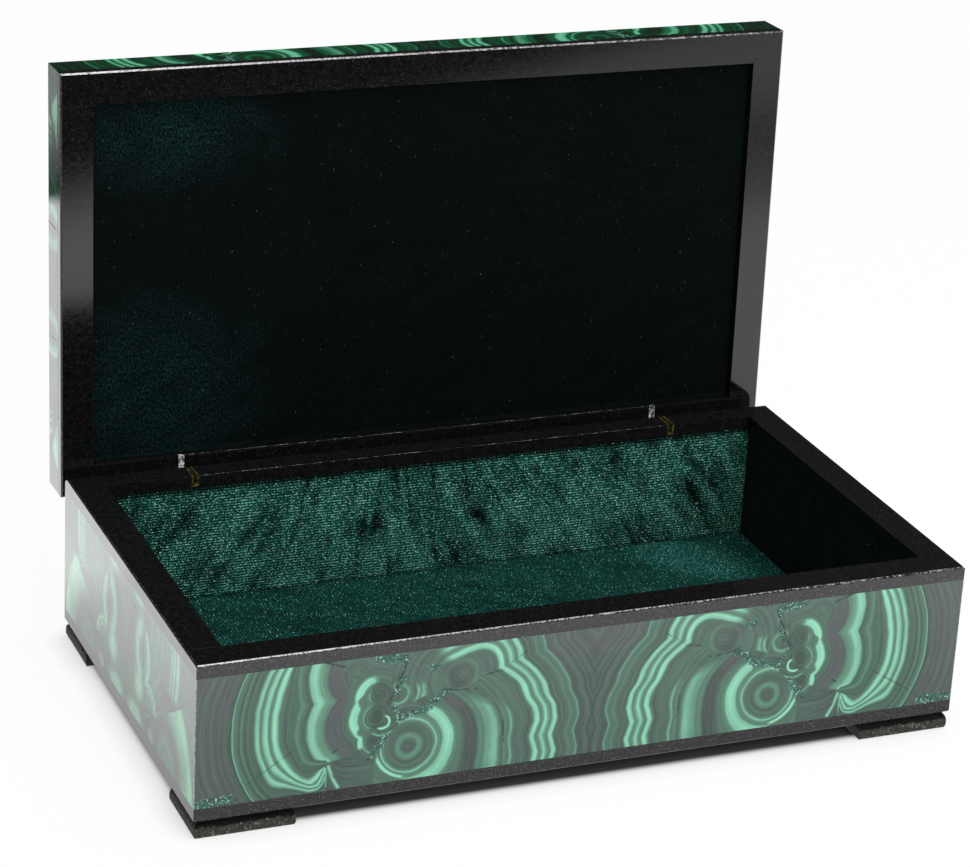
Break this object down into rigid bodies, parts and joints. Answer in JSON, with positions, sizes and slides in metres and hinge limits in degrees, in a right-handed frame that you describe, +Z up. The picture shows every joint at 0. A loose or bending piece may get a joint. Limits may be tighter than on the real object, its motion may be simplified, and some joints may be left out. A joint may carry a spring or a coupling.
{
  "type": "jewelry box",
  "caption": "Rectangular hinged keepsake box of black stone faced with book-matched malachite, velvet lined, on low corner feet, its lid on concealed kerf hinges.",
  "frame": {"origin": "middle of the underside of the open box's outline, on the plane that the feet stand on", "axes": "+X along the width to the box's right, +Y from front to back, +Z up"},
  "size_m": [0.22, 0.1444, 0.1652],
  "materials": {
    "black_stone": "polished",
    "core_stone": "satin",
    "malachite": "polished",
    "foot_stone": "satin",
    "velvet": "matte",
    "lid_velvet": "matte",
    "card": "matte",
    "brass": "satin",
    "steel": "satin"
  },
  "bodies": {
    "base": {"base_floor_slab": "black_stone", "foot_front_left": "foot_stone", "foot_front_right": "foot_stone", "foot_rear_left": "foot_stone", "foot_rear_right": "foot_stone", "core_front": "core_stone", "core_rear": "core_stone", "core_left": "core_stone", "core_right": "core_stone", "facing_front_left": "malachite", "facing_front_right": "malachite", "facing_rear_left": "malachite", "facing_rear_right": "malachite", "facing_left_front": "malachite", "facing_left_rear": "malachite", "facing_right_front": "malachite", "facing_right_rear": "malachite", "rail_front": "black_stone", "rail_right": "black_stone", "rail_rear": "black_stone", "rail_left": "black_stone", "lining_floor_card": "card", "lining_floor_velvet": "velvet", "lining_front_card": "card", "lining_front_velvet": "velvet", "lining_rear_card": "card", "lining_rear_velvet": "velvet", "lining_left_card": "card", "lining_left_velvet": "velvet", "lining_right_card": "card", "lining_right_velvet": "velvet", "hinge_clevis_left": "brass", "hinge_clevis_right": "brass", "hinge_pin_left": "steel", "hinge_pin_right": "steel"},
    "lid": {"lid_core": "core_stone", "lid_border_front": "black_stone", "lid_border_right": "black_stone", "lid_border_rear": "black_stone", "lid_border_left": "black_stone", "lid_top_front_left": "malachite", "lid_top_front_right": "malachite", "lid_top_rear_left": "malachite", "lid_top_rear_right": "malachite", "lid_edge_front_left": "malachite", "lid_edge_front_right": "malachite", "lid_edge_right": "malachite", "lid_edge_rear_right": "malachite", "lid_edge_rear_left": "malachite", "lid_edge_left": "malachite", "lid_lining_card": "card", "lid_lining_velvet": "lid_velvet", "hinge_blade_left": "steel", "hinge_blade_right": "steel"}
  },
  "joints": [
    {"name": "lid_hinge", "type": "hinge", "parent": "base", "child": "lid", "pos_m": [0, 0.05009, 0.0434], "axis": [1, 0, 0], "range_deg": [0, 91.4]}
  ]
}
